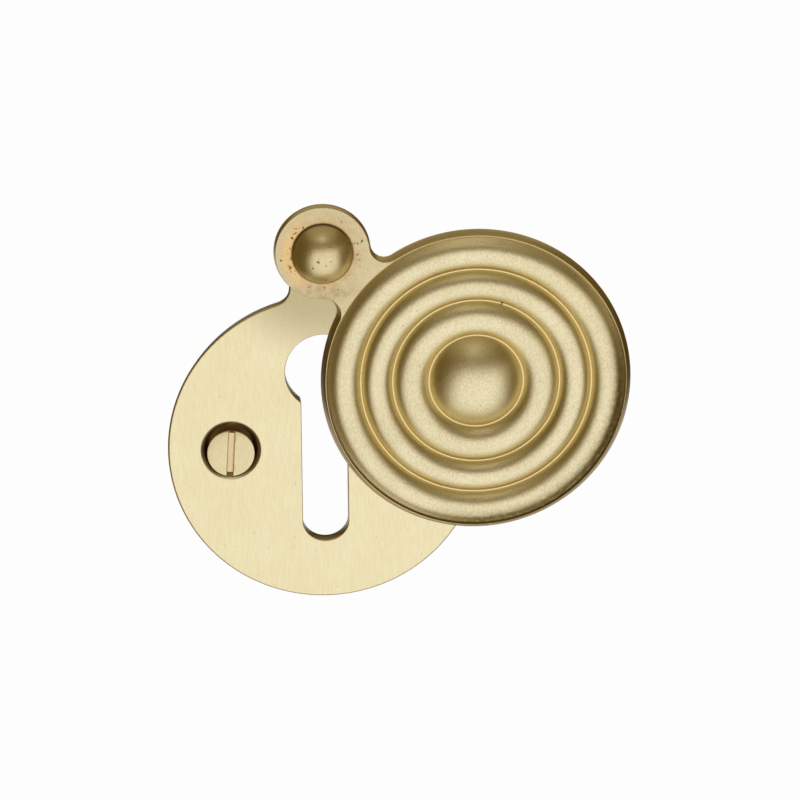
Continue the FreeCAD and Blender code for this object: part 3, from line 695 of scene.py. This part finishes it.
def buildStage():
    s = stage
    bpy.ops.object.select_all(action="DESELECT")
    bpy.ops.mesh.primitive_plane_add(size=s["size"] * mm, location=(0, 0, s["floorZ"] * mm))
    floor = bpy.context.object
    floor.name = "floor"
    material, tree, place = newMaterial("palePaper")
    rays = add(tree, "ShaderNodeLightPath", {}).outputs
    shown = 0.0
    for kind in ("Is Camera Ray", "Is Glossy Ray", "Is Transmission Ray"):
        values = {"operation": "MAXIMUM", "Value": rays[kind], "Value_001": shown}
        shown = add(tree, "ShaderNodeMath", values).outputs[0]
    level = add(tree, "ShaderNodeMath", {"operation": "MULTIPLY", "Value": shown, "Value_001": s["level"]})
    paper = add(tree, "ShaderNodeBsdfDiffuse", {"Color": "#f4f4f2"})
    colour = glow(tree, place, rays["Is Camera Ray"])
    white = add(tree, "ShaderNodeEmission", {"Color": colour, "Strength": 1.0})
    mixed = add(tree, "ShaderNodeMixShader",
                {"Fac": level.outputs[0], "Shader": paper.outputs[0], "Shader_001": white.outputs[0]})
    add(tree, "ShaderNodeOutputMaterial", {"Surface": mixed.outputs[0]})
    dress(floor, material)
    print("stage laid")


# each soft box in metres: its place, width, height, the radiance it shows and its colour; all face the piece
softboxes = dict(low=((0.3, -1.5, 0.12), 2.6, 0.34, 1.0, "#ffffff"),
                 overhead=((0, -0.2, 0.8), 1.4, 1.2, 0.23, "#fdfbe6"),
                 small=((0, -0.5, 0.55), 0.3, 0.12, 1.3, "#ffffff"),
                 right=((1.4, -0.6, 0.1), 0.9, 0.9, 0.12, "#ffefcc"),
                 back=((0, 1.0, 0.75), 1.6, 0.7, 0.4, "#fff3d8"))


def addLamp(name, place, width, height, radiance, colour):
    # the power that gives a wanted radiance is the box's area times pi times that
    data = bpy.data.lights.new(name, "AREA")
    data.shape = "RECTANGLE"
    data.size, data.size_y = width, height
    data.energy = radiance * math.pi * width * height
    data.color = linear(colour)[:3]
    lamp = bpy.data.objects.new(name, data)
    bpy.context.collection.objects.link(lamp)
    lamp.location = place
    lamp.rotation_euler = (-Vector(place)).to_track_quat("-Z", "Y").to_euler()


def buildLight():
    # the world is white to the camera and a dim brown to everything else
    world = bpy.data.worlds.new("studio")
    bpy.context.scene.world = world
    world.use_nodes = True
    tree = world.node_tree
    background = tree.nodes["Background"]
    background.inputs["Strength"].default_value = 1.0
    seen = add(tree, "ShaderNodeLightPath", {}).outputs["Is Camera Ray"]
    tree.links.new(coat(tree, stage["dim"], "#ffffff", seen), background.inputs["Color"])
    for name, box in softboxes.items():
        addLamp(name + "Softbox", *box)
    print("lamps hung")


# the camera as fitted to the photo: degrees round and above the part, mm from it and the lens's mm
view = dict(azimuth=-2.91, elevation=16.97, roll=-0.54, distance=496.24, targetX=7.946, targetZ=5.042,
            lens=213.165)


def buildCamera():
    azimuth, elevation, roll = (math.radians(view[k]) for k in ("azimuth", "elevation", "roll"))
    back = Vector((math.sin(azimuth) * math.cos(elevation), -math.cos(azimuth) * math.cos(elevation),
                   math.sin(elevation)))
    right = (-back).cross(Vector((0, 0, 1))).normalized()
    up = right.cross(-back)
    right, up = (right * math.cos(roll) + up * math.sin(roll), up * math.cos(roll) - right * math.sin(roll))
    data = bpy.data.cameras.new("camera")
    data.lens = view["lens"]
    camera = bpy.data.objects.new("camera", data)
    bpy.context.collection.objects.link(camera)
    eye = Vector((view["targetX"], plate["front"], view["targetZ"])) * mm + back * view["distance"] * mm
    camera.matrix_world = Matrix.Translation(eye) @ Matrix((right, up, back)).transposed().to_4x4()
    bpy.context.scene.camera = camera
    bpy.context.scene.view_settings.view_transform = "Standard"
    print("camera set")


buildCamera()
buildStage()
buildLight()

backplateForm = buildBackplate()
dress(backplateForm, brushedPlateBrass())
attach(backplateForm, "plate")
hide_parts("backplate")

swingCoverForm = buildSwingCover()
dress(swingCoverForm, castCoverBrass())
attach(swingCoverForm, "cover")
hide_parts("swing_cover")

pivotRivetForm = buildPivotRivet()
dress(pivotRivetForm, domedRivetBrass())
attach(pivotRivetForm, "plate")
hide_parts("pivot_rivet")

leftScrewForm = buildScrew("leftScrewForm")
dress(leftScrewForm, turnedScrewBrass())
rightScrewForm = leftScrewForm.copy()
rightScrewForm.data = leftScrewForm.data.copy()
rightScrewForm.name = "rightScrewForm"
bpy.context.collection.objects.link(rightScrewForm)
placeScrew(leftScrewForm, -plate["holeOut"], screw["leftTurn"])
placeScrew(rightScrewForm, plate["holeOut"], screw["rightTurn"])
for piece, node in ((leftScrewForm, "fixing_screw_left"), (rightScrewForm, "fixing_screw_right")):
    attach(piece, "plate")
    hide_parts(node)
